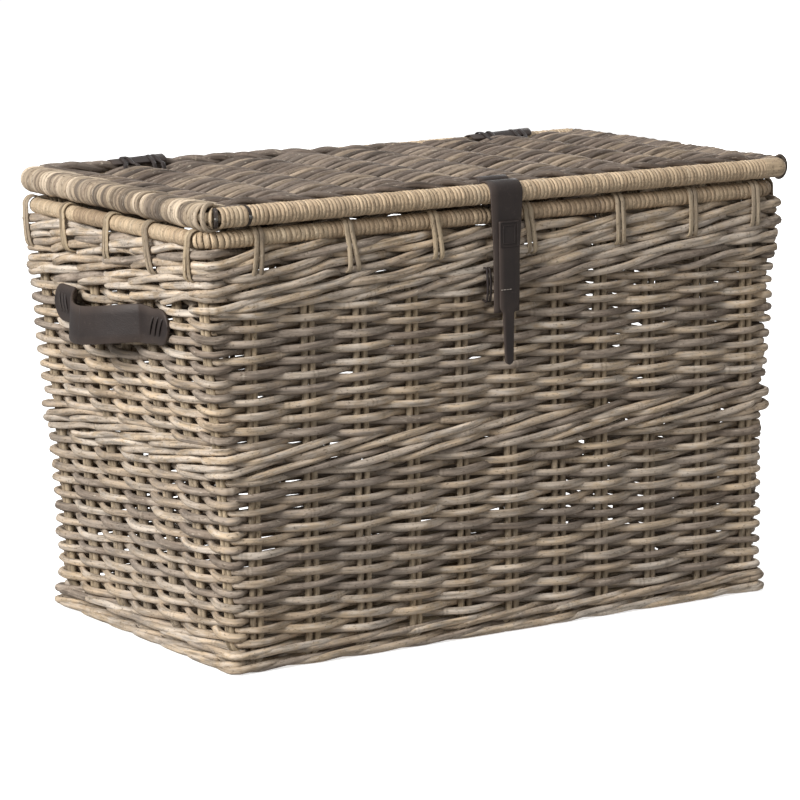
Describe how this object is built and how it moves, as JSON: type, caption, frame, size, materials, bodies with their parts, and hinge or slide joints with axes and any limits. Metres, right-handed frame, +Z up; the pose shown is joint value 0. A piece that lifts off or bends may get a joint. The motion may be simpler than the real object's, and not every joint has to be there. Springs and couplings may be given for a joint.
{
  "type": "wicker storage trunk",
  "caption": "Rectangular wicker trunk of woven weathered rattan with cane-bound rims, a leather-hinged wicker lid, leather carrying handles and a leather closure strap.",
  "frame": {"origin": "middle of the underside of the floor, on the ground plane", "axes": "+Z up, -Y towards the front with the closure strap, +X to the right along the trunk's length"},
  "size_m": [0.8268, 0.4513, 0.5058],
  "materials": {
    "weathered_rattan": "weathered unpeeled rattan, matt, grey-brown",
    "rib_rattan": "weathered rattan rods, matt",
    "pole_rattan": "thick rattan pole under the winding",
    "cane_peel": "split cane peel, cream, satin",
    "dark_leather": "dark brown leather, semi-matt, cut edges paler",
    "nail_steel": "small domed nail heads"
  },
  "bodies": {
    "basket": {"base_wale": "weathered_rattan", "lower_weave": "weathered_rattan", "middle_wale": "weathered_rattan", "upper_weave": "weathered_rattan", "top_wale": "weathered_rattan", "floor_weave": "weathered_rattan", "cross_rib_1": "rib_rattan", "cross_rib_2": "rib_rattan", "cross_rib_3": "rib_rattan", "cross_rib_4": "rib_rattan", "cross_rib_5": "rib_rattan", "cross_rib_6": "rib_rattan", "cross_rib_7": "rib_rattan", "cross_rib_8": "rib_rattan", "cross_rib_9": "rib_rattan", "cross_rib_10": "rib_rattan", "cross_rib_11": "rib_rattan", "side_rib_1": "rib_rattan", "side_rib_2": "rib_rattan", "side_rib_3": "rib_rattan", "side_rib_4": "rib_rattan", "side_rib_5": "rib_rattan", "side_rib_6": "rib_rattan", "side_rib_7": "rib_rattan", "rim_pole": "pole_rattan", "rim_wrap_front": "cane_peel", "rim_wrap_back": "cane_peel", "rim_wrap_left": "cane_peel", "rim_wrap_right": "cane_peel", "closure_keeper": "dark_leather", "left_hinge_box_leaf": "dark_leather", "right_hinge_box_leaf": "dark_leather", "left_handle_back_anchor": "dark_leather", "left_handle_front_anchor": "dark_leather", "right_handle_back_anchor": "dark_leather", "right_handle_front_anchor": "dark_leather"},
    "lid": {"lid_frame": "pole_rattan", "lid_weave": "weathered_rattan", "lid_rib_1": "rib_rattan", "lid_rib_2": "rib_rattan", "lid_rib_3": "rib_rattan", "lid_rib_4": "rib_rattan", "lid_rib_5": "rib_rattan", "lid_rib_6": "rib_rattan", "lid_rib_7": "rib_rattan", "lid_rib_8": "rib_rattan", "lid_rib_9": "rib_rattan", "lid_rib_10": "rib_rattan", "lid_wrap_front": "cane_peel", "lid_wrap_back": "cane_peel", "lid_wrap_left": "weathered_rattan", "lid_wrap_right": "weathered_rattan", "lid_nail_1": "nail_steel", "lid_nail_2": "nail_steel", "left_hinge_lid_leaf": "dark_leather", "right_hinge_lid_leaf": "dark_leather"},
    "closure": {"closure_strap": "dark_leather", "closure_tongue": "dark_leather"},
    "left_handle": {"left_handle_strap": "dark_leather"},
    "right_handle": {"right_handle_strap": "dark_leather"}
  },
  "joints": [
    {"name": "lid_hinge", "type": "hinge", "parent": "basket", "child": "lid", "pos_m": [0, 0.2227, 0.4784], "axis": [-1, 0, 0], "range_deg": [0, 110]},
    {"name": "closure_flip", "type": "hinge", "parent": "lid", "child": "closure", "pos_m": [-0.008, -0.2122, 0.4915], "axis": [-1, 0, 0], "range_deg": [0, 150]},
    {"name": "left_handle_lift", "type": "hinge", "parent": "basket", "child": "left_handle", "pos_m": [-0.3753, 0.004, 0.387], "axis": [0, 1, 0], "range_deg": [0, 35]},
    {"name": "right_handle_lift", "type": "hinge", "parent": "basket", "child": "right_handle", "pos_m": [0.3753, 0.004, 0.387], "axis": [0, -1, 0], "range_deg": [0, 35]}
  ]
}
